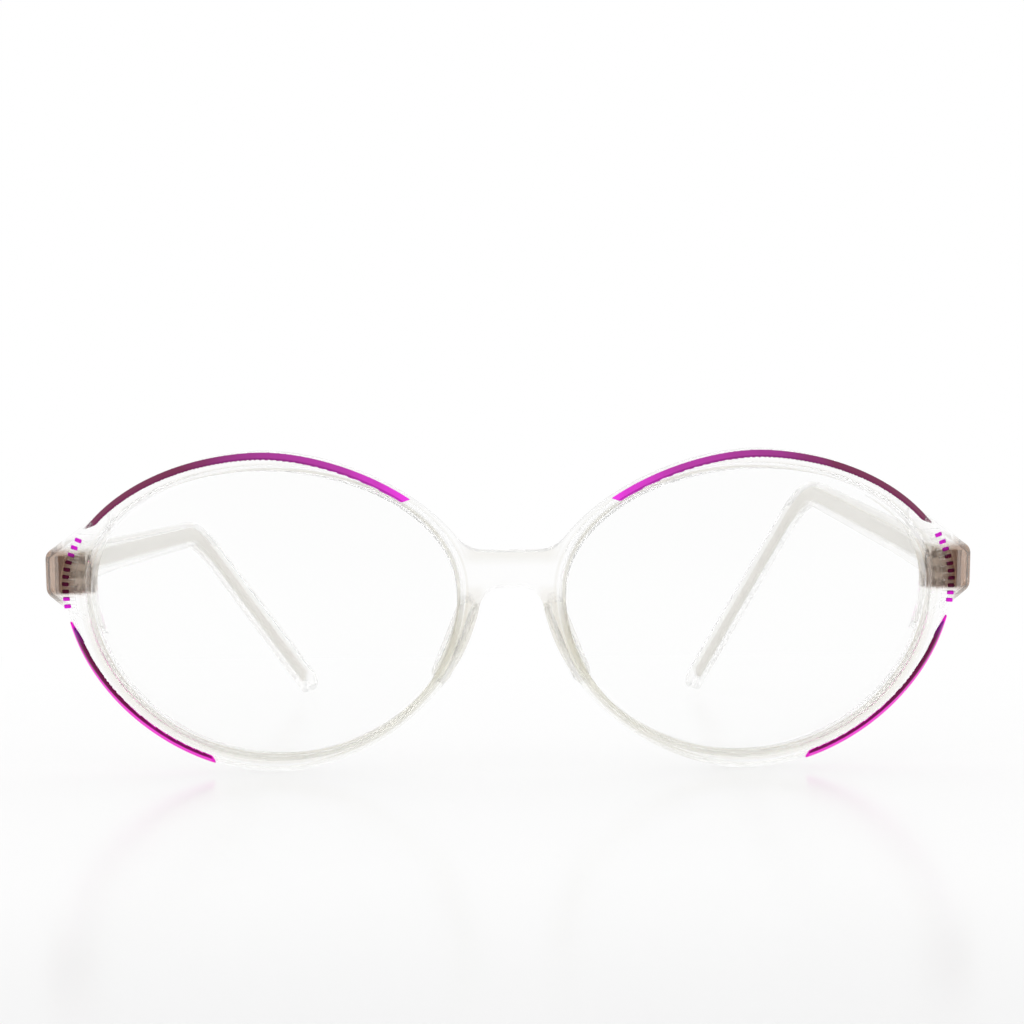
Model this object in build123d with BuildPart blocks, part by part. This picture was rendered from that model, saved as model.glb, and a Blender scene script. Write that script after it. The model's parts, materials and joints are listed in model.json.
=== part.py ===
from build123d import *
from math import atan2, cos, degrees, hypot, radians, sin, sqrt, tan
import os

# Oval eyeglasses: a clear moulded front with two lenses, and two clear temples on pin hinges.
# The front looks towards -Y, +Z is up, and the part stands on its rims and its two ear tips, with
# the middle of its footprint at the origin. Right and left are the wearer's, so the right side is
# at -X. All lengths are in millimetres.
os.makedirs("parts", exist_ok=True)

# Eyes and rims, seen square to the front
eye_width = 54.4
eye_rise = 17.35  # from the eye's widest line to its top
eye_drop = 24.4  # from the eye's widest line to its bottom
eye_gap = 15.3  # between the two eyes, at the nose
nose_width = 8.9  # between the two rims, at the nose
rim_top = 2.6
rim_side = 3.1
rim_bottom = 2.55
temporal_power = 1.9  # a little flatter than an ellipse at the temples
nasal_power = 1.77  # flatter still beside the nose
eye_power = 2.0  # an even ellipse round the eye itself
oval_steps = 32  # points along each oval

# The front as a plate
front_thickness = 3.8
front_radius = 250.0  # the ball that the front is bent over
front_lean = 8.0  # degrees that the top edge leans forward
bevel = 1.15  # along the outer front edge of the rims and the bridge
front_ahead = 63.3  # the bridge's front ahead of the middle of the footprint
overrun = 2.0  # how far any cut runs past what it cuts

# Bridge over the nose
bridge_rise = 5.8  # top of the bridge above the widest line
bridge_height = 5.05
bridge_top_round = 5.0
arch_round = 3.4

# End pieces that carry the hinges
end_reach = 2.85  # how far the end piece stands out past the rim
end_top_rise = 4.65  # outer top corner above the widest line
end_bottom_drop = 1.2  # outer bottom corner below the widest line
end_top_root = 11.3  # where the end piece leaves the rim above the widest line
end_bottom_root = 8.0  # where it meets the rim again below the widest line
end_round = 1.7
end_thickness = 3.57  # at its outer edge, where its flat back carries the hinge
end_bevel = 0.9

# Enamel lines laid on the bevel, from one end to the other in degrees round the oval from its
# temporal side; each end is cut aslant, so its inner edge stops short by so many degrees
enamel_depth = 0.3
upper_line = (26.0, 135.5)
upper_slants = (4.5, 1.5)
lower_line = (-72.7, -12.1)
lower_slants = (1.5, 6.0)

# Marked panels beside the eyes
panel_inset = 1.7  # its inner edge inside the rim's outline
panel_outset = 0.4  # its outer edge outside the rim's outline
panel_depth = 0.45
panel_top = 7.8  # above the widest line
panel_bottom = 3.9  # below it
mark_count = 10
mark_length = 0.95
notch_length = 1.85  # of the small cut across the panel that each mark ends
mark_height = 0.5
mark_margin = 0.1  # its outer end inside the panel's outer edge
mark_depth = 0.3
mark_pitch = 1.11
mark_top = 7.0  # the uppermost mark above the widest line

# Lenses and the grooves that hold them
lens_set = 1.0  # lens front behind the front's surface
lens_thickness = 1.9
groove_depth = 0.75
groove_half_width = 0.6
lens_clearance = 0.05

# Nose pads cemented behind the rims
pad_length = 13.2
pad_width = 2.4
pad_depth = 5.4
pad_splay = 1.0  # how far the pad's back lies outwards of its front
pad_drop = 7.7  # middle of the pad below the widest line
pad_across = 7.6  # middle of the pad from the middle of the nose
pad_turn = 22.0  # degrees off upright
pad_bevel = 0.7  # along its back edge

# Hinges
hinge_rise = 1.3  # middle of the hinge above the widest line
knuckle_radius = 1.2
knuckle_height = 1.0
knuckle_gap = 0.06
knuckle_count = 5
knuckle_clearance = 0.15  # knuckles off the plastic and off the other plate
plate_thickness = 0.9
plate_margin = 0.2  # front plate past the knuckles, above and below
front_plate_width = 4.6
temple_plate_length = 10.5
temple_plate_height = 4.2
screw_radius = 0.6
screw_clearance = 0.03
screw_head_radius = 1.05
screw_head_height = 0.6
screw_slot_width = 0.3
screw_slot_depth = 0.3
screw_end = 0.35  # how far the screw stands out below the last knuckle

# Temples: heights above the table, distances behind the front of the bridge
temple_thickness = 3.45
head_height = 6.8
head_length = 11.0
neck_height = 6.1
shaft_share = 0.25  # of the way from the neck to the bend, where the shaft is slim
shaft_height = 5.2
shaft_thickness = 3.1
bend_height = 4.9
bend_thickness = 3.0
ear_height = 6.0
ear_thickness = 2.7
butt_gap = 0.12
bend_back = 105.0
bend_inset = 3.9  # how far the bend lies inwards of the butt
right_bend_up = 35.1
left_bend_up = 43.3
bend_radius = 13.0
bend_steps = 12  # straight stretches that make up the bend
tip_back = 128.0
tip_inset = 23.675
tip_run = 0.5  # straight stretch just ahead of the rounded tip
temple_round = 0.85  # corner radius of every section

# Metal cores inside the temples
core_height = 2.7
core_thickness = 0.9
core_short = 12.0  # clear plastic past the core's end, at the ear tip

# Worked out from the sizes above
eye_x = (eye_gap + eye_width) / 2
widest_height = eye_drop + rim_bottom
eye_middle = Vector(eye_x, widest_height)
rim_powers = (temporal_power, nasal_power)
nasal_reach = eye_x - nose_width / 2
temporal_reach = eye_width / 2 + rim_side
eye_sag = front_radius - sqrt(front_radius**2 - eye_x**2)
edge_sag = (eye_width**2 + (eye_rise + eye_drop) ** 2) / (16 * front_radius)
ridge_set = lens_set + lens_thickness / 2 + edge_sag
lean = radians(front_lean)
bottom_sag = front_radius - sqrt(front_radius**2 - eye_x**2 - widest_height**2)
ground_drop = (bottom_sag + bevel) * sin(lean)
knuckle_step = knuckle_height + knuckle_gap
stack_height = knuckle_count * knuckle_step - knuckle_gap
hinge_up = widest_height + hinge_rise
hinge_reach = knuckle_radius + knuckle_clearance
end_x = eye_x + temporal_reach + end_reach
end_depth = front_radius - sqrt(front_radius**2 - end_x**2) + end_thickness
temple_inner_x = end_x - temple_thickness
hinge_x = temple_inner_x - hinge_reach
hinge_depth = end_depth + hinge_reach
bore_radius = screw_radius + screw_clearance

# The front's own plane: x across, y up the front, z forward to the viewer
front_plane = Plane(
    origin=(0, -front_ahead, -ground_drop), x_dir=(1, 0, 0), z_dir=(0, -cos(lean), -sin(lean))
)
ball_place = (0, widest_height, -front_radius)
ball_turn = (90, 0, 0)  # keeps the ball's poles and seam clear of the front
ball_centre = front_plane.from_local_coords(ball_place)
front_axis = Axis(front_plane.origin, front_plane.z_dir)


def at(across, up, depth):
    """A point given across, up the front and back from the bridge."""
    return front_plane.from_local_coords((across, up, -depth))


def oval_spot(turn, reaches, powers):
    """A point on an oval of four quarters; reaches are temporal, nasal, up and down."""
    temporal, nasal, rise, drop = reaches
    outer = cos(turn) > 0
    upper = sin(turn) > 0
    share = 2 / powers[0] if outer else 2 / powers[1]
    across = (temporal if outer else -nasal) * abs(cos(turn)) ** share
    up = (rise if upper else -drop) * abs(sin(turn)) ** share
    return Vector(across, up)


def oval(middle, reaches, powers):
    """A filled oval, its temporal side towards +X."""
    turns = [radians(360 * step / oval_steps) for step in range(oval_steps)]
    with BuildSketch() as face:
        with BuildLine():
            Spline(*[middle + oval_spot(turn, reaches, powers) for turn in turns], periodic=True)
        make_face()
    return face.sketch


def rim_reaches(grow):
    """How far the left rim's outline reaches from the eye's middle, grown all round."""
    rise = eye_rise + rim_top + grow
    return temporal_reach + grow, nasal_reach + grow, rise, widest_height + grow


def rim_spot(turn, grow):
    """A point on or beside the rim's outline, so many degrees round from its temporal side."""
    return eye_middle + oval_spot(radians(turn), rim_reaches(grow), rim_powers)


def rim_face(grow=0.0):
    """The outline of the left rim, filled, in front view."""
    return oval(eye_middle, rim_reaches(grow), rim_powers)


def eye_face(grow=0.0):
    """The left eye, filled, about the origin of its plane."""
    half = eye_width / 2 + grow
    reaches = (half, half, eye_rise + grow, eye_drop + grow)
    return oval(Vector(), reaches, (eye_power, eye_power))


def eye_plane():
    """The plane across the left eye, square to the ball at the eye's middle."""
    middle = at(eye_x, widest_height, eye_sag)
    outward = (middle - ball_centre).normalized()
    return Plane(origin=middle, x_dir=front_plane.y_dir.cross(outward), z_dir=outward)


def ball(inset):
    """The ball that the front is bent over, or one inside it by inset."""
    with BuildPart(front_plane) as whole:
        with Locations(ball_place):
            Sphere(front_radius - inset, rotation=ball_turn)
    return whole.part


def on_ball(edge):
    """True for an edge of the front's outer surface, but not for the cut down its middle."""
    marks = (edge.position_at(0), edge.position_at(0.5), edge.position_at(1))
    outer = all(abs((mark - ball_centre).length - front_radius) < lens_clearance for mark in marks)
    return outer and max(abs(mark.X) for mark in marks) > lens_clearance


def mirrored(piece):
    """The same piece for the other side of the face."""
    with BuildPart() as other:
        mirror(piece, about=Plane.YZ)
    return other.part


def bent_plate(block, bevelled):
    """A block bent over the ball as a plate and bevelled along its front edge."""
    with BuildPart() as plate:
        add(block)
        add(ball(0), mode=Mode.INTERSECT)
        add(ball(front_thickness), mode=Mode.SUBTRACT)
        chamfer([edge for edge in plate.edges() if on_ball(edge)], bevelled)
    return plate.part


def rim_block():
    """The left rim, filled, as a straight block that runs past the back of the front."""
    with BuildPart() as block:
        for depth in (0.0, end_depth + overrun):
            with BuildSketch(front_plane.offset(-depth)):
                add(rim_face())
        loft(ruled=True)
    return block.part


def corners(block, above):
    """The edges where the bridge meets the rim, along the front's own depth."""
    middle_up = widest_height + bridge_rise - bridge_height / 2
    found = []
    for edge in block.edges():
        place = front_plane.to_local_coords(edge.center())
        deep = abs(edge.tangent_at(0).dot(front_axis.direction)) > cos(lean)
        if deep and 0 < place.X < eye_gap / 2 and (place.Y > middle_up) == above:
            found.append(edge)
    return found


def half_outline():
    """The left rim and half of the bridge as one block, rounded where they meet."""
    with BuildPart() as block:
        add(rim_block())
        with BuildSketch(front_plane):
            with Locations((0, widest_height + bridge_rise)):
                Rectangle(eye_gap / 2, bridge_height, align=(Align.MIN, Align.MAX))
        extrude(amount=-end_depth - overrun)
        fillet(corners(block, True), bridge_top_round)
        fillet(corners(block, False), arch_round)
    return block.part


def end_piece():
    """The block beside the eye that carries the hinge, its root inside the rim."""
    root_x = eye_x + eye_width / 2 - rim_side
    with BuildPart(front_plane) as block:
        with BuildSketch(front_plane):
            with BuildLine():
                Polyline(
                    (root_x, widest_height + end_top_root),
                    (end_x, widest_height + end_top_rise),
                    (end_x, widest_height - end_bottom_drop),
                    (root_x, widest_height - end_bottom_root),
                    close=True,
                )
            make_face()
        extrude(amount=-end_depth)
        fillet(block.edges().filter_by(front_axis).group_by(Axis.X)[-1], end_round)
        with Locations(ball_place):
            Sphere(front_radius, rotation=ball_turn, mode=Mode.INTERSECT)
        root_edges = block.faces().sort_by(Axis.X)[0].edges()
        shown = [edge for edge in block.edges() if on_ball(edge) and edge not in root_edges]
        chamfer(shown, end_bevel)
    return block.part


def ridged(gap):
    """The eye as a straight block with a pointed ridge round it, gap smaller than the groove."""
    middle = eye_plane().offset(-ridge_set)
    reach = ridge_set + overrun
    sections = (
        (reach, -gap),
        (groove_half_width, -gap),
        (0.0, groove_depth - gap),
        (-groove_half_width, -gap),
        (-reach, -gap),
    )
    with BuildPart() as block:
        for ahead, grow in sections:
            with BuildSketch(middle.offset(ahead)):
                add(eye_face(grow))
        loft(ruled=True)
    return block.part


def lens():
    """The left lens: one shallow shell, its edge a ridge that snaps into the rim's groove."""
    with BuildPart() as glass:
        add(ridged(lens_clearance))
        add(ball(lens_set), mode=Mode.INTERSECT)
        add(ball(lens_set + lens_thickness), mode=Mode.SUBTRACT)
    return glass.part


def stretch(first, last, slants):
    """A wedge through the front, from the eye's middle out round one stretch of the rim."""
    far = eye_width
    ends = (
        eye_middle,
        rim_spot(first + slants[0], -bevel),
        rim_spot(first, 0),
        rim_spot(first, far),
        rim_spot((first + last) / 2, far),
        rim_spot(last, far),
        rim_spot(last, 0),
        rim_spot(last - slants[1], -bevel),
    )
    with BuildPart(front_plane) as wedge:
        with BuildSketch(front_plane):
            with BuildLine():
                Polyline(*ends, close=True)
            make_face()
        extrude(amount=-end_depth - overrun)
    return wedge.part


def enamel_band():
    """A skin of even depth on the left rim's bevel, all the way round."""
    with BuildPart() as band:
        add(bent_plate(rim_block(), bevel - enamel_depth * sqrt(2)))
        add(bent_plate(rim_block(), bevel), mode=Mode.SUBTRACT)
    return band.part


def enamel_line(band, ends, slants):
    """One painted stretch of the band."""
    with BuildPart() as line:
        add(band)
        add(stretch(*ends, slants), mode=Mode.INTERSECT)
    return line.part


def panel_recess():
    """The strip beside the eye where the marks stand, as the shallow cut that makes it."""
    middle = (eye_x + temporal_reach, widest_height + (panel_top - panel_bottom) / 2)
    with BuildPart(front_plane) as strip:
        with BuildSketch(front_plane):
            add(rim_face(panel_outset))
            add(rim_face(-panel_inset), mode=Mode.SUBTRACT)
            with Locations(middle):
                Rectangle(temporal_reach, panel_top + panel_bottom, mode=Mode.INTERSECT)
        extrude(amount=-end_depth - overrun)
    with BuildPart() as cut:
        add(strip.part)
        add(ball(panel_depth), mode=Mode.SUBTRACT)
    return cut.part


def notches(length):
    """Small bars sunk in the panel's floor from its outer edge inwards, square to the rim."""
    with BuildPart(front_plane) as bars:
        with BuildSketch(front_plane):
            for count in range(mark_count):
                up = mark_top - count * mark_pitch
                reach, _, rise, drop = rim_reaches(0)
                level = 1 - (abs(up) / (rise if up > 0 else drop)) ** temporal_power
                outline = eye_x + reach * level ** (1 / temporal_power)
                slope = degrees(atan2(up, (rise if up > 0 else drop)))
                outer_end = (Align.MAX, Align.CENTER)
                with Locations((outline + panel_outset - mark_margin, widest_height + up)):
                    Rectangle(length, mark_height, rotation=slope, align=outer_end)
        extrude(amount=-end_depth - overrun)
    with BuildPart() as layer:
        add(bars.part)
        add(ball(panel_depth), mode=Mode.INTERSECT)
        add(ball(panel_depth + mark_depth), mode=Mode.SUBTRACT)
    return layer.part


def nose_pad():
    """A pad cemented behind the rim: an upright slot shape that splays out, its back bevelled."""
    root_depth = front_thickness / 2
    root = at(pad_across, widest_height - pad_drop, root_depth)
    back = at(pad_across + pad_splay, widest_height - pad_drop, front_thickness + pad_depth)
    run = back - root
    plane = Plane(origin=root, x_dir=front_plane.y_dir.cross(run), z_dir=run)
    with BuildPart() as pad:
        with BuildSketch(plane):
            SlotOverall(pad_length, pad_width, rotation=90 - pad_turn)
        extrude(amount=run.length)
        chamfer(pad.faces().sort_by(Axis(root, run))[-1].edges(), pad_bevel)
        add(ball(front_thickness), mode=Mode.INTERSECT)
    return pad.part


def hinge_level(level):
    """The plane across the hinge pin at the foot of one knuckle, x outwards, y to the front."""
    up = hinge_up - stack_height / 2 + level * knuckle_step
    return Plane(origin=at(hinge_x, up, hinge_depth), x_dir=(1, 0, 0), z_dir=front_plane.y_dir)


def front_hinge():
    """The fixed half: a plate sunk in the end piece, and every other knuckle."""
    with BuildPart() as hinge:
        with BuildSketch(front_plane.offset(-end_depth)):
            with Locations((hinge_x - knuckle_radius + front_plate_width / 2, hinge_up)):
                Rectangle(front_plate_width, stack_height + 2 * plate_margin)
        extrude(amount=plate_thickness)
        for level in range(0, knuckle_count, 2):
            with BuildSketch(hinge_level(level)):
                Circle(knuckle_radius)
                with Locations((0, -hinge_reach / 2)):
                    Rectangle(2 * knuckle_radius, hinge_reach)
                Circle(bore_radius, mode=Mode.SUBTRACT)
            extrude(amount=knuckle_height)
    return hinge.part


def temple_hinge():
    """The moving half: a plate sunk in the temple's inner face, and the knuckles between."""
    plate_front = hinge_depth - knuckle_radius
    plate_plane = Plane(
        origin=at(temple_inner_x, hinge_up, plate_front),
        x_dir=-front_plane.z_dir,
        z_dir=(1, 0, 0),
    )
    with BuildPart() as hinge:
        with BuildSketch(plate_plane):
            with Locations((temple_plate_length / 2, 0)):
                Rectangle(temple_plate_length, temple_plate_height)
        extrude(amount=plate_thickness)
        for level in range(1, knuckle_count, 2):
            with BuildSketch(hinge_level(level)):
                Circle(knuckle_radius)
                with Locations((hinge_reach / 2 + plate_thickness / 4, 0)):
                    Rectangle(hinge_reach + plate_thickness / 2, 2 * knuckle_radius)
                Circle(bore_radius, mode=Mode.SUBTRACT)
            extrude(amount=knuckle_height)
    return hinge.part


def hinge_screw():
    """The pin: a slotted head on the top knuckle and a shank through all of them."""
    top = at(hinge_x, hinge_up + stack_height / 2, hinge_depth)
    upward = Plane(origin=top, x_dir=(1, 0, 0), z_dir=front_plane.y_dir)
    with BuildPart() as screw:
        with BuildSketch(upward):
            Circle(screw_head_radius)
        extrude(amount=screw_head_height)
        with BuildSketch(upward):
            Circle(screw_radius)
        extrude(amount=-stack_height - screw_end)
        with BuildSketch(upward.offset(screw_head_height)):
            Rectangle(2 * screw_head_radius + overrun, screw_slot_width)
        extrude(amount=-screw_slot_depth, mode=Mode.SUBTRACT)
    return screw.part


def section_plane(centre, way):
    """A plane across the temple at centre, y up the temple's height, its thickness lying level."""
    height_way = Vector(1, 0, 0).cross(way).normalized()
    return Plane(origin=centre, x_dir=height_way.cross(way), z_dir=way)


class TemplePath:
    """The line down the middle of a left temple, from its butt round the ear bend to its tip."""

    def __init__(self, bend_up):
        middle_x = end_x - temple_thickness / 2
        self.head_way = -front_plane.z_dir
        self.butt = at(middle_x, hinge_up, end_depth + butt_gap)
        self.neck = self.butt + self.head_way * head_length
        corner = Vector(middle_x - bend_inset, bend_back - front_ahead, bend_up)
        self.shaft_way = (corner - self.neck).normalized()
        lying = Vector(middle_x - tip_inset, tip_back - front_ahead, ear_height / 2)
        level = section_plane(lying, (lying - corner).normalized())
        half_round = ear_height / 2 * hypot(level.z_dir.Z, level.y_dir.Z)
        half_edge = ear_thickness / 2 * abs(level.x_dir.Z)
        self.tip = Vector(lying.X, lying.Y, half_round + half_edge)
        self.ear_way = (self.tip - corner).normalized()
        self.turn = radians(self.shaft_way.get_angle(self.ear_way))
        run = bend_radius * tan(self.turn / 2)
        self.bend_start = corner - self.shaft_way * run
        self.bend_end = corner + self.ear_way * run

    def bend(self, share):
        """The point and the way at a share of the ear bend."""
        turned = self.turn * share
        across = (self.ear_way - self.shaft_way * cos(self.turn)).normalized()
        way = self.shaft_way * cos(turned) + across * sin(turned)
        centre = self.bend_start + across * bend_radius
        spot = centre + (self.shaft_way * sin(turned) - across * cos(turned)) * bend_radius
        return spot, way

    def stations(self, past_tip):
        """Centre, way and name of each cross-section, the last one past the tip's middle."""
        slim = self.neck + (self.bend_start - self.neck) * shaft_share
        spots = [
            (self.butt, self.head_way, "butt"),
            (self.neck, self.head_way, "neck"),
            (slim, self.shaft_way, "shaft"),
        ]
        for step in range(bend_steps + 1):
            spot, way = self.bend(step / bend_steps)
            spots.append((spot, way, "bend"))
        spots.append((self.tip - self.ear_way * tip_run, self.ear_way, "ear"))
        spots.append((self.tip + self.ear_way * past_tip, self.ear_way, "ear"))
        return spots


def lofted(path, past_tip, sizes, rounded):
    """A bar along the path; sizes gives each station's thickness and height."""
    with BuildPart() as bar:
        for spot, way, station in path.stations(past_tip):
            thickness, height = sizes[station]
            with BuildSketch(section_plane(spot, way)):
                if rounded:
                    RectangleRounded(thickness, height, temple_round)
                else:
                    Rectangle(thickness, height)
        loft(ruled=True)
    return bar.part


def core_wire(path):
    """The flat metal strip inside a temple, from the butt to short of the tip."""
    size = (core_thickness, core_height)
    return lofted(path, ear_height / 2 - core_short, dict.fromkeys(STATIONS, size), False)


def temple(path, strip, hinge):
    """A clear temple with a rounded ear tip, a channel for its core and a seat for its hinge."""
    sizes = {
        "butt": (temple_thickness, head_height),
        "neck": (temple_thickness, neck_height),
        "shaft": (shaft_thickness, shaft_height),
        "bend": (bend_thickness, bend_height),
        "ear": (ear_thickness, ear_height),
    }
    across = section_plane(path.tip, path.ear_way)
    flat = Plane(origin=path.tip, x_dir=path.ear_way, z_dir=across.x_dir)
    with BuildPart() as arm:
        add(lofted(path, ear_height / 2, sizes, True))
        with BuildSketch(flat):
            with Locations((ear_height / 2, 0)):
                Rectangle(ear_height, ear_height + overrun)
            Circle(ear_height / 2, mode=Mode.SUBTRACT)
        extrude(amount=ear_thickness, both=True, mode=Mode.SUBTRACT)
        add(strip, mode=Mode.SUBTRACT)
        add(hinge, mode=Mode.SUBTRACT)
    return arm.part


def write(name, piece):
    """Label a finished piece and write it to its own file."""
    piece.label = name
    export_step(piece, f"parts/{name}.step")


STATIONS = ("butt", "neck", "shaft", "bend", "ear")
band = enamel_band()
both_sides = {
    "upper_enamel": enamel_line(band, upper_line, upper_slants),
    "lower_enamel": enamel_line(band, lower_line, lower_slants),
    "notch_enamel": notches(mark_length),
    "lens": lens(),
    "nose_pad": nose_pad(),
    "front_hinge": front_hinge(),
    "temple_hinge": temple_hinge(),
    "hinge_screw": hinge_screw(),
}
cuts = [ridged(0), panel_recess(), notches(notch_length), both_sides["front_hinge"]]

with BuildPart() as end_block:
    add(end_piece())
    add(both_sides["upper_enamel"], mode=Mode.SUBTRACT)
    add(both_sides["lower_enamel"], mode=Mode.SUBTRACT)

with BuildPart() as half_front:
    add(bent_plate(half_outline(), bevel))
    add(end_block.part)
    for cut in cuts:
        add(cut, mode=Mode.SUBTRACT)

with BuildPart() as front_frame:
    add(half_front.part)
    mirror(about=Plane.YZ)

for name, piece in both_sides.items():
    write(f"right_{name}", mirrored(piece))
    write(f"left_{name}", piece)

for name, bend_up in (("right", right_bend_up), ("left", left_bend_up)):
    path = TemplePath(bend_up)
    strip = core_wire(path)
    arm = temple(path, strip, both_sides["temple_hinge"])
    write(f"{name}_core_wire", mirrored(strip) if name == "right" else strip)
    write(f"{name}_temple", mirrored(arm) if name == "right" else arm)

write("front_frame", front_frame.part)
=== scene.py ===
import json
import math

import bpy
from mathutils import Matrix

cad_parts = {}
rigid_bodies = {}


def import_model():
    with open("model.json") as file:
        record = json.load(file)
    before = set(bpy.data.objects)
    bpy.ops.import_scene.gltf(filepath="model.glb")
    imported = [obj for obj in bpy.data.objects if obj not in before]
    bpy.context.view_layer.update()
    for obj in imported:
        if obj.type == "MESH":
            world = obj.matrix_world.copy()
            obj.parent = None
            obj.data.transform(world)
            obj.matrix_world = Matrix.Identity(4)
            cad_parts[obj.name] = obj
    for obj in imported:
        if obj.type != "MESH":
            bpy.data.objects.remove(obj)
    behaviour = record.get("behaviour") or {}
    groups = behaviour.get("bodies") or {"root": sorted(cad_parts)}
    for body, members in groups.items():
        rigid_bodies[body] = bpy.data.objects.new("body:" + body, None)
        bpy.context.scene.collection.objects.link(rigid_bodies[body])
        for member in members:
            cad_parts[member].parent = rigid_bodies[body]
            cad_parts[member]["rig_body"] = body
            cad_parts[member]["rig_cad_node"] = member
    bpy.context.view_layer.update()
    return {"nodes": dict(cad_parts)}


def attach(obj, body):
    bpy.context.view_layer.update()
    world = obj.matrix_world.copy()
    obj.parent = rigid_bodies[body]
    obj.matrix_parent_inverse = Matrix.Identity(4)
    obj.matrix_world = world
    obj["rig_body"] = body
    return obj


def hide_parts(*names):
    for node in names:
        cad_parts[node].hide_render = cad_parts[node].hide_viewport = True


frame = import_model()
nodes = frame["nodes"]


# The camera stands 24 centimetres ahead of the eyeglasses, level with the upper half of the
# lenses. It looks along the table with a long lens, turned a touch to the right.
camera_place = (-0.004219, -0.308264, 0.034867)
camera_turn = math.radians(-1.034)
camera_tilt = math.radians(90.649)
camera_roll = math.radians(-0.387)

camera_data = bpy.data.cameras.new("camera")
camera_data.sensor_width = 36.0
camera_data.lens = 60.0
camera_data.clip_start = 0.01
camera = bpy.data.objects.new("camera", camera_data)
bpy.context.scene.collection.objects.link(camera)
turned = Matrix.Rotation(camera_turn, 3, "Z")
tilted = Matrix.Rotation(camera_tilt, 3, "X")
rolled = Matrix.Rotation(camera_roll, 3, "Z")
camera.location = camera_place
camera.rotation_euler = (turned @ tilted @ rolled).to_euler()
bpy.context.scene.camera = camera
bpy.context.scene.view_settings.view_transform = "Standard"


# The table is a sheet of glossy white acrylic, with a painted glow strongest over its far half
# until it is plain white. It mirrors the eyeglasses softly, and painted shade greys it a little
# towards the viewer.
class Shade:
    """One value worked out over a surface; sums and products on it add the nodes for them."""

    def __init__(self, tree, socket=None):
        self.tree = tree
        self.socket = socket

    def node(self, kind, settings=None, sockets=None, output=0):
        """A new node with its settings made first, then its sockets filled or linked."""
        made = self.tree.nodes.new(kind)
        for name, value in (settings or {}).items():
            if name == "stops":
                ramp = made.color_ramp
                while len(ramp.elements) < len(value):
                    ramp.elements.new(0.5)
                for element, (place, colour) in zip(ramp.elements, value):
                    element.position = place
                    element.color = (*colour, 1.0)
            else:
                setattr(made, name, value)
        for name, value in (sockets or {}).items():
            target = made.inputs[name]
            if isinstance(value, Shade):
                self.tree.links.new(value.socket, target)
            elif hasattr(value, "__len__") and len(value) == 3 and target.type == "RGBA":
                target.default_value = (*value, 1.0)
            else:
                target.default_value = value
        return Shade(self.tree, made.outputs[output])

    def maths(self, operation, first, second=0.0):
        return self.node("ShaderNodeMath", {"operation": operation}, {0: first, 1: second})

    def __add__(self, other):
        return self.maths("ADD", self, other)

    __radd__ = __add__

    def __sub__(self, other):
        return self.maths("SUBTRACT", self, other)

    def __rsub__(self, other):
        return self.maths("SUBTRACT", other, self)

    def __mul__(self, other):
        return self.maths("MULTIPLY", self, other)

    __rmul__ = __mul__

    def __abs__(self):
        return self.maths("ABSOLUTE", self)

    def span(self, low, high):
        """0 at low, 1 at high and smooth between; low may be the greater of the two."""
        sockets = {"Value": self, "From Min": low, "From Max": high}
        return self.node("ShaderNodeMapRange", {"interpolation_type": "SMOOTHSTEP"}, sockets)

    def within(self, rising, falling):
        """1 between two soft edges and 0 outside them, where each edge is a pair for span."""
        return self.span(*rising) * self.span(*falling)

    def between(self, first, second):
        """The colour first where this is 0, second where it is 1."""
        sockets = {"Factor": self, 6: first, 7: second}
        return self.node("ShaderNodeMix", {"data_type": "RGBA"}, sockets, 2)

    def axis(self, name):
        """One of the three numbers of a place."""
        return self.node("ShaderNodeSeparateXYZ", None, {"Vector": self}, name)

    def noise(self, scale, detail):
        """Soft unevenness over a place, from 0 to 1."""
        sockets = {"Vector": self, "Scale": scale, "Detail": detail}
        return self.node("ShaderNodeTexNoise", None, sockets)


def new_finish(name, **sockets):
    """A material with its shader's own numbers set, and the place on the object to start from."""
    material = bpy.data.materials.new(name)
    material.use_nodes = True
    shader = material.node_tree.nodes["Principled BSDF"]
    for key, value in sockets.items():
        shader.inputs[key.replace("_", " ")].default_value = value
    start = Shade(material.node_tree)
    return material, shader, start.node("ShaderNodeTexCoord", output="Object")


def feed(shader, name, shade):
    """Link a worked-out value into a shader's socket."""
    shade.tree.links.new(shade.socket, shader.inputs[name])


table_width = 8.0
table_height = -0.00003
dimming = (-0.13, -0.20)
far_white = (0.985, 0.985, 0.985)
near_painted_shade = (0.79, 0.79, 0.795)
painted_glow_white = (1.0, 1.0, 1.0)
lit_part = (-0.04, 0.17)
least_lit = 0.55

bpy.ops.object.select_all(action="DESELECT")
bpy.ops.mesh.primitive_plane_add(size=table_width, location=(0, 0, table_height))
table = bpy.context.object
table.name = "table"
acrylic, shader, place = new_finish("white_acrylic", Roughness=0.16, IOR=1.49)
depth = place.axis("Y")
# Painted shade: the table's colour greys towards the viewer.
feed(shader, "Base Color", depth.span(*dimming).between(far_white, near_painted_shade))
# Painted glow: the table glows, most of all over its far half.
glow = place.node("ShaderNodeEmission", None, {"Color": painted_glow_white})
lit = least_lit + (1.0 - least_lit) * depth.span(*lit_part)
gloss = Shade(place.tree, shader.outputs[0])
surface = place.node("ShaderNodeMixShader", None, {0: lit, 1: gloss, 2: glow})
end = acrylic.node_tree.nodes["Material Output"]
acrylic.node_tree.links.new(surface.socket, end.inputs["Surface"])
table.data.materials.append(acrylic)


# The studio is white all round, but for the dim side where the camera stands. That dim side is
# what draws the edges of the clear plastic, and the camera itself doesn't see it.
studio_white = (1.0, 1.0, 1.0)
dim_side = (0.42, 0.395, 0.355)
dim_edge = (-0.62, -0.92)

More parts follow.
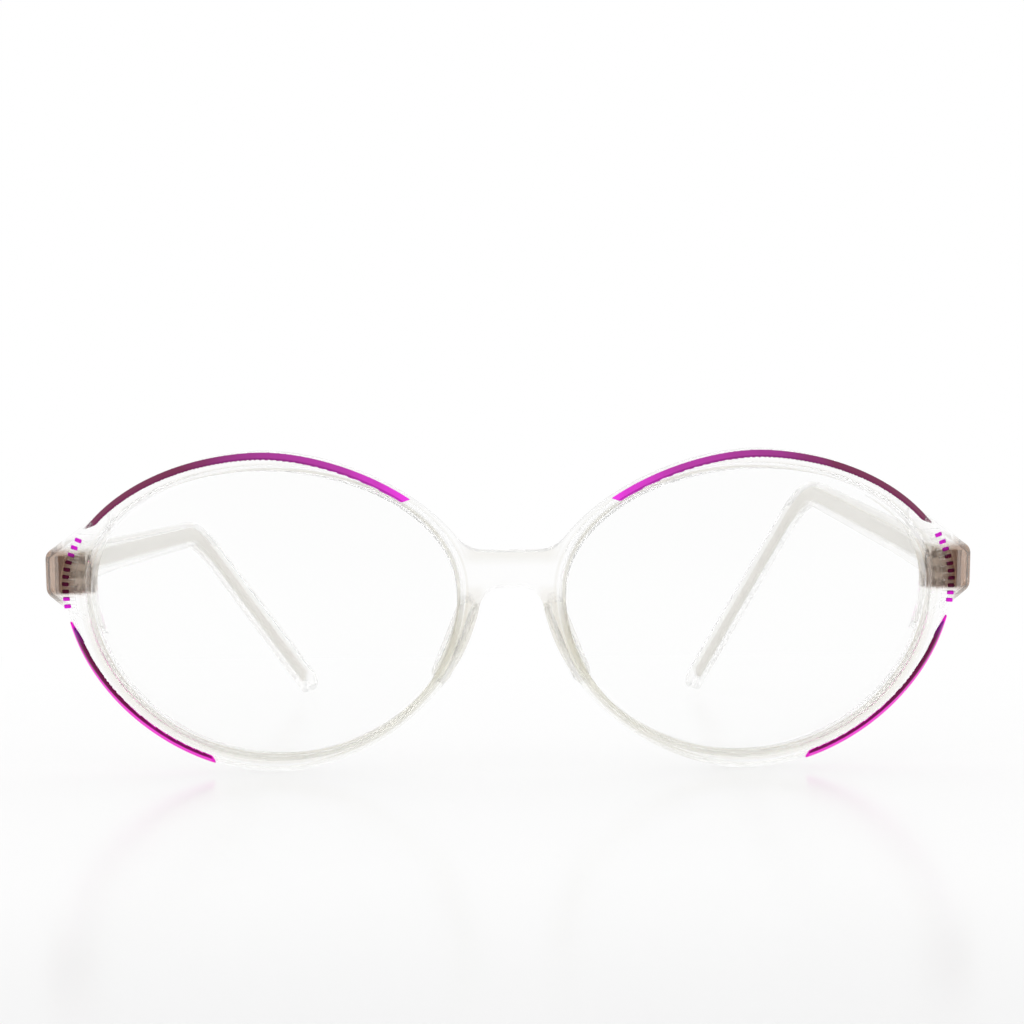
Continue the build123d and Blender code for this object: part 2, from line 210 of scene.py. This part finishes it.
studio = bpy.data.worlds.new("studio")
bpy.context.scene.world = studio
studio.use_nodes = True
light = studio.node_tree.nodes["Background"]
light.inputs["Strength"].default_value = 1.0
start = Shade(studio.node_tree)
ahead = start.node("ShaderNodeTexCoord", output="Generated").axis("Y").span(*dim_edge)
unseen = 1.0 - start.node("ShaderNodeLightPath", output="Is Camera Ray")
feed(light, "Color", (ahead * unseen).between(studio_white, dim_side))


# The front is clear cellulose plastic, milled from a bent sheet: both rims, the bridge and the
# end pieces, with the two nose pads cemented on behind and polished over. The lens groove is
# milled rough into it, with painted ivory shade along it in the lower half of each rim; thin
# lines of painted shade run round each eye, and painted tan and brown shade lies round the hinges
# buried in its ends.
eye_from_middle = 0.03441
eye_half_width = 0.02693
eye_height = 0.0266
eye_rise = 0.01735
eye_drop = 0.02402
merging_distance = 0.000002
pad_grain = 0.00025
pad_passes = 14
front_crease = math.radians(28)


def copy_of(*names):
    """Merged meshes copied from CAD nodes, as new pieces."""
    bpy.ops.object.select_all(action="DESELECT")
    parts = []
    for name in names:
        part = nodes[name].copy()
        part.data = nodes[name].data.copy()
        part.parent = None
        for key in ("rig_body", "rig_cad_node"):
            if key in part:
                del part[key]
        bpy.context.scene.collection.objects.link(part)
        part.select_set(True)
        parts.append(part)
    bpy.context.view_layer.objects.active = parts[0]
    for part in parts:
        part.data.materials.clear()
    bpy.ops.object.mode_set(mode="EDIT")
    bpy.ops.mesh.select_all(action="SELECT")
    bpy.ops.mesh.customdata_custom_splitnormals_clear()
    bpy.ops.mesh.remove_doubles(threshold=merging_distance)
    bpy.ops.object.mode_set(mode="OBJECT")
    return parts


def apply_to(piece, kind, **settings):
    """A modifier with these settings, added to the piece and applied."""
    bpy.ops.object.select_all(action="DESELECT")
    piece.select_set(True)
    bpy.context.view_layer.objects.active = piece
    change = piece.modifiers.new(kind.lower(), kind)
    for name, value in settings.items():
        setattr(change, name, value)
    bpy.ops.object.modifier_apply(modifier=change.name)


def united(parts):
    """Several overlapping or touching pieces made one closed piece."""
    for part in parts[1:]:
        apply_to(parts[0], "BOOLEAN", operation="UNION", solver="EXACT", object=part)
        bpy.data.objects.remove(part)
    return parts[0]


def tumbled(piece, grain, passes):
    """The piece with its edges worn soft, as in a tumbling barrel."""
    apply_to(piece, "REMESH", mode="VOXEL", voxel_size=grain, use_smooth_shade=True)
    apply_to(piece, "SMOOTH", factor=0.5, iterations=passes)
    bpy.ops.object.shade_smooth()


def round_eye(place):
    """How far a place is from an eye's middle, as a share: 1 at the eye's edge."""
    across = (abs(place.axis("X")) - eye_from_middle) * (1 / eye_half_width)
    up = place.axis("Z") - eye_height
    up = place.maths("MAXIMUM", up * (1 / eye_rise), up * (-1 / eye_drop))
    return place.maths("SQRT", across * across + up * up)


def bumped(ripple, strength):
    """The slight waves that polishing leaves, at most a fifth of a millimetre deep."""
    sockets = {"Strength": strength, "Distance": 0.0002, "Height": ripple}
    return ripple.node("ShaderNodeBump", None, sockets)


pads = copy_of("right_nose_pad", "left_nose_pad")
for pad in pads:
    tumbled(pad, pad_grain, pad_passes)
front = united(copy_of("front_frame") + pads)
front.name = "front_moulding"
bpy.ops.object.shade_smooth_by_angle(angle=front_crease)

mottle_edges = (0.35, 0.65)
hinge_shade_edges = (0.4, 0.6)
clear_tones = ((0.955, 0.952, 0.94), (0.98, 0.978, 0.97))
groove_ivory_shade = (0.82, 0.80, 0.69)
edge_line_shade = (0.74, 0.72, 0.64)
nose_shade = (0.85, 0.83, 0.775)
hinge_shade_tans = ((0.84, 0.76, 0.69), (0.92, 0.86, 0.80))
hinge_shade_browns = ((0.25, 0.12, 0.065), (0.38, 0.22, 0.14))

groove_band = ((0.985, 0.995), (1.045, 1.03))
inner_line_band = ((0.984, 0.992), (1.013, 1.005))
outer_line_band = ((1.034, 1.042), (1.056, 1.048))
outer_line_strength = 0.5
ivory_below = (0.030, 0.017)
nose_across = ((0.0105, 0.0088), (0.0032, 0.0048))
nose_heights = ((0.0150, 0.0185), (0.0278, 0.0262))
brow_above = (0.0296, 0.0314)
brow_across = (0.0085, 0.0050)
hinge_beyond = (0.0600, 0.0625)
hinge_heights = ((0.0252, 0.0266), (0.0334, 0.0320))
brown_beyond = (0.0636, 0.0650)

clear_cloud = 0.3
edge_cloud = 0.4
groove_clearing = 0.2
ivory_cloud = 0.45
hinge_cloud = 0.3
nose_cloud = 0.2
line_cloud = 0.4
front_bump = 0.04

front_plastic, shader, place = new_finish("front_plastic", Transmission_Weight=1.0, IOR=1.45)
mottle = place.noise(scale=90.0, detail=2.0)
ripple = place.noise(scale=260.0, detail=1.0)
height = place.axis("Z")
outward = abs(place.axis("X"))
share = round_eye(place)
groove = share.within(*groove_band)
ivory = groove * height.span(*ivory_below)
lines = share.within(*inner_line_band) + outer_line_strength * share.within(*outer_line_band)
nose_zone = outward.within(*nose_across) * height.within(*nose_heights) * (1.0 - groove)
brow = height.span(*brow_above) * outward.span(*brow_across)
hinge_zone = outward.span(*hinge_beyond) * height.within(*hinge_heights)
outer_end = hinge_zone * outward.span(*brown_beyond)

# Painted shade: ivory on the lower groove, lines round each eye, nose and brow, and the hinges.
hinge_shade_mottle = mottle.span(*hinge_shade_edges)
plastic = mottle.span(*mottle_edges).between(*clear_tones)
plastic = ivory.between(plastic, groove_ivory_shade)
plastic = lines.between(plastic, edge_line_shade)
plastic = (nose_zone + brow).between(plastic, nose_shade)
plastic = hinge_zone.between(plastic, hinge_shade_mottle.between(*hinge_shade_tans))
plastic = outer_end.between(plastic, hinge_shade_mottle.between(*hinge_shade_browns))
feed(shader, "Base Color", plastic)
feed(shader, "Roughness", 0.02 + 0.03 * ripple + 0.25 * groove)
glancing = place.node("ShaderNodeLayerWeight", None, {"Blend": 0.4}, "Facing")
cloud = clear_cloud + edge_cloud * glancing * (1.0 - groove) - groove_clearing * groove
cloud = cloud + ivory_cloud * ivory + hinge_cloud * hinge_zone
cloud = cloud + nose_cloud * (nose_zone + brow) + line_cloud * lines
feed(shader, "Alpha", cloud)
feed(shader, "Normal", bumped(ripple, front_bump))
front.data.materials.append(front_plastic)
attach(front, "front")
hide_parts("front_frame", "right_nose_pad", "left_nose_pad")


# The temples are strips of the same plastic, a little more ivory, with the metal core shot into
# their middle while they are hot, so no gap shows round it.
sides = ("right", "left")
core_overlap = 0.00005
temple_grain = 0.00025
temple_passes = 5
temple_tones = ((0.95, 0.945, 0.92), (0.975, 0.97, 0.955))
temple_cloud = 0.36
temple_bump = 0.05

temple_plastic, shader, place = new_finish("temple_plastic", Transmission_Weight=1.0, IOR=1.42)
mottle = place.noise(scale=70.0, detail=2.0)
ripple = place.noise(scale=240.0, detail=1.0)
feed(shader, "Base Color", mottle.span(*mottle_edges).between(*temple_tones))
feed(shader, "Roughness", 0.05 + 0.06 * ripple)
feed(shader, "Alpha", temple_cloud + 0.08 * mottle)
feed(shader, "Normal", bumped(ripple, temple_bump))
for side in sides:
    strip, core = copy_of(f"{side}_temple", f"{side}_core_wire")
    apply_to(core, "DISPLACE", strength=core_overlap, mid_level=0.0)
    temple = united([strip, core])
    temple.name = f"{side}_temple_moulding"
    tumbled(temple, temple_grain, temple_passes)
    temple.data.materials.append(temple_plastic)
    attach(temple, f"{side}_temple")
    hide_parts(f"{side}_temple")


# The cores are flat strips of white metal, rolled thin, with their corners broken. They are
# lightly brushed along their length, and the temples' plastic holds them.
core_tones = ((0.90, 0.88, 0.83), (0.95, 0.935, 0.895))
brush_stretch = (900.0, 40.0, 900.0)
broken_corner = 0.0002
corner_angle = math.radians(50)
core_crease = math.radians(35)

core_metal, shader, place = new_finish("core_metal", Metallic=0.15)
stretched = place.node("ShaderNodeMapping", None, {"Vector": place, "Scale": brush_stretch})
brushed = stretched.noise(scale=1.0, detail=2.0)
feed(shader, "Base Color", brushed.between(*core_tones))
feed(shader, "Roughness", 0.42 + 0.18 * brushed)
for side in sides:
    strip = copy_of(f"{side}_core_wire")[0]
    strip.name = f"{side}_core_strip"
    edges = {"limit_method": "ANGLE", "angle_limit": corner_angle}
    apply_to(strip, "BEVEL", width=broken_corner, segments=2, **edges)
    bpy.ops.object.shade_smooth_by_angle(angle=core_crease)
    strip.data.materials.append(core_metal)
    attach(strip, f"{side}_temple")
    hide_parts(f"{side}_core_wire")


# The lenses are shells of clear hard-coated plastic. Each is edged to a ridge that snaps into
# the groove of its rim, and the ridge is ground, not polished.
lens_tones = ((0.985, 0.987, 0.985), (0.995, 0.997, 0.995))
ridge_from = (0.985, 1.0)
ground_roughness = 0.3
ridge_clearing = 0.95


def dress(name, material):
    """A CAD node takes its real finish."""
    mesh = nodes[name].data
    mesh.materials.clear()
    mesh.materials.append(material)


lens_plastic, shader, place = new_finish("lens_plastic", Transmission_Weight=1.0, IOR=1.4)
spots = place.noise(scale=35.0, detail=1.0)
ridge = round_eye(place).span(*ridge_from)
feed(shader, "Base Color", spots.between(*lens_tones))
feed(shader, "Roughness", 0.004 * spots + ground_roughness * ridge)
feed(shader, "Alpha", 1.0 - ridge_clearing * ridge)
for side in sides:
    dress(f"{side}_lens", lens_plastic)


# The long lines along each rim are magenta enamel with a metallic sheen, run into shallow cuts.
# The upper ones are wine at their outer ends and brighten to the nose, with a violet fringe of
# painted reflection along their front edge. The lower ones stand a little domed, with a bright
# painted reflection along the outside and wine painted shade within.
ball_middle = (0.0, 0.180516, 0.060776)
ball_radius = 0.250
line_grain = 0.00011
bead_passes = 4


def domed(name, grain, proud):
    """A CAD node's enamel as a soft bead, with its skin moved outwards by proud."""
    bead = copy_of(name)[0]
    bead.name = f"{name}_bead"
    tumbled(bead, grain, bead_passes)
    apply_to(bead, "DISPLACE", strength=proud, mid_level=0.0)
    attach(bead, "front")
    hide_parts(name)
    return bead


def slope(place):
    """How many millimetres down the rim's bevel a place is, under the ball the front is bent on."""
    sockets = {0: place, 1: ball_middle}
    distance = place.node("ShaderNodeVectorMath", {"operation": "DISTANCE"}, sockets, "Value")
    return 1000 * ball_radius - 1000 * distance


upper_proud = -0.00004
upper_starts = 0.012
upper_length = 0.038
upper_streaks = 0.16
fringe_depths = (0.10, -0.02)
fringe_strength = 0.7
upper_paint = (
    (0.0, (1.0, 0.055, 0.90)),
    (0.3, (0.52, 0.05, 0.42)),
    (0.62, (0.40, 0.045, 0.31)),
    (0.92, (0.20, 0.032, 0.09)),
)
upper_fringe_reflection = ((0.0, (0.74, 0.07, 0.88)), (0.5, (0.36, 0.04, 0.36)), (1.0, (0.26, 0.04, 0.19)))

upper_enamel, shader, place = new_finish("upper_enamel", Metallic=0.8, Specular_IOR_Level=0.25)
streak = place.noise(scale=420.0, detail=2.0)
from_nose = (abs(place.axis("X")) - upper_starts) * (1 / upper_length)
from_nose = from_nose + upper_streaks * (streak - 0.5)
paint = place.node("ShaderNodeValToRGB", {"stops": upper_paint}, {"Fac": from_nose})
fringe = place.node("ShaderNodeValToRGB", {"stops": upper_fringe_reflection}, {"Fac": from_nose})
# The violet fringe on the front edge is a painted reflection.
rim_edge = fringe_strength * slope(place).span(*fringe_depths)
feed(shader, "Base Color", rim_edge.between(paint, fringe))
feed(shader, "Roughness", 0.24 + 0.14 * streak)
for side in sides:
    bead = domed(f"{side}_upper_enamel", line_grain, upper_proud)
    bead.data.materials.append(upper_enamel)

lower_proud = 0.00011
bright_stripe_reflection = (1.0, 0.015, 0.72)
stripe_depths = (0.25, 0.38)
stripe_widening = 0.36
widens_below = (0.020, 0.007)
lower_streaks = 0.1
wine_shade_tones = ((0.17, 0.012, 0.075), (0.26, 0.02, 0.40))
violet_above = (0.018, 0.023)

lower_enamel, shader, place = new_finish("lower_enamel", Metallic=0.8, Specular_IOR_Level=0.1)
streak = place.noise(scale=420.0, detail=2.0)
height = place.axis("Z")
# Painted reflection: bright along the outside; painted shade: wine within.
stripe = slope(place) + stripe_widening * height.span(*widens_below)
stripe = stripe + lower_streaks * (streak - 0.5)
wine = height.span(*violet_above).between(*wine_shade_tones)
feed(shader, "Base Color", stripe.span(*stripe_depths).between(wine, bright_stripe_reflection))
feed(shader, "Roughness", 0.24 + 0.14 * streak)
for side in sides:
    bead = domed(f"{side}_lower_enamel", line_grain, lower_proud)
    bead.data.materials.append(lower_enamel)


# Ten short marks down each end piece are dabs of the same enamel in a small sunk panel. The
# ones at either end of the row are bright, and the middle ones are wine.
mark_grain = 0.00007
mark_proud = 0.00005
mark_tones = ((0.07, 0.003, 0.022), (0.85, 0.02, 0.80))
bright_above = (0.0312, 0.0326)
bright_below = (0.0264, 0.0252)

mark_enamel, shader, place = new_finish("mark_enamel", Metallic=0.8, Specular_IOR_Level=0.25)
streak = place.noise(scale=900.0, detail=2.0)
height = place.axis("Z")
ends = height.span(*bright_above) + height.span(*bright_below)
feed(shader, "Base Color", (ends * (0.55 + 0.6 * streak)).between(*mark_tones))
feed(shader, "Roughness", 0.2 + 0.2 * streak)
for side in sides:
    bead = domed(f"{side}_notch_enamel", mark_grain, mark_proud)
    bead.data.materials.append(mark_enamel)


# The hinges are five-knuckle barrels of nickel silver, their plates melted into the plastic and
# held by a slotted screw from above. The plates are coloured tan.
plate_tones = ((0.66, 0.58, 0.50), (0.85, 0.79, 0.72))
plate_grain = (0.3, 0.7)
screw_tones = ((0.58, 0.54, 0.47), (0.70, 0.67, 0.61))

hinge_metal, shader, place = new_finish("hinge_metal", Metallic=0.75)
grain = place.noise(scale=700.0, detail=3.0)
feed(shader, "Base Color", grain.span(*plate_grain).between(*plate_tones))
feed(shader, "Roughness", 0.30 + 0.2 * grain)
screw_metal, shader, place = new_finish("screw_metal", Metallic=1.0)
turning = place.noise(scale=1100.0, detail=2.0)
feed(shader, "Base Color", turning.between(*screw_tones))
feed(shader, "Roughness", 0.22 + 0.15 * turning)
for side in sides:
    dress(f"{side}_front_hinge", hinge_metal)
    dress(f"{side}_temple_hinge", hinge_metal)
    dress(f"{side}_hinge_screw", screw_metal)
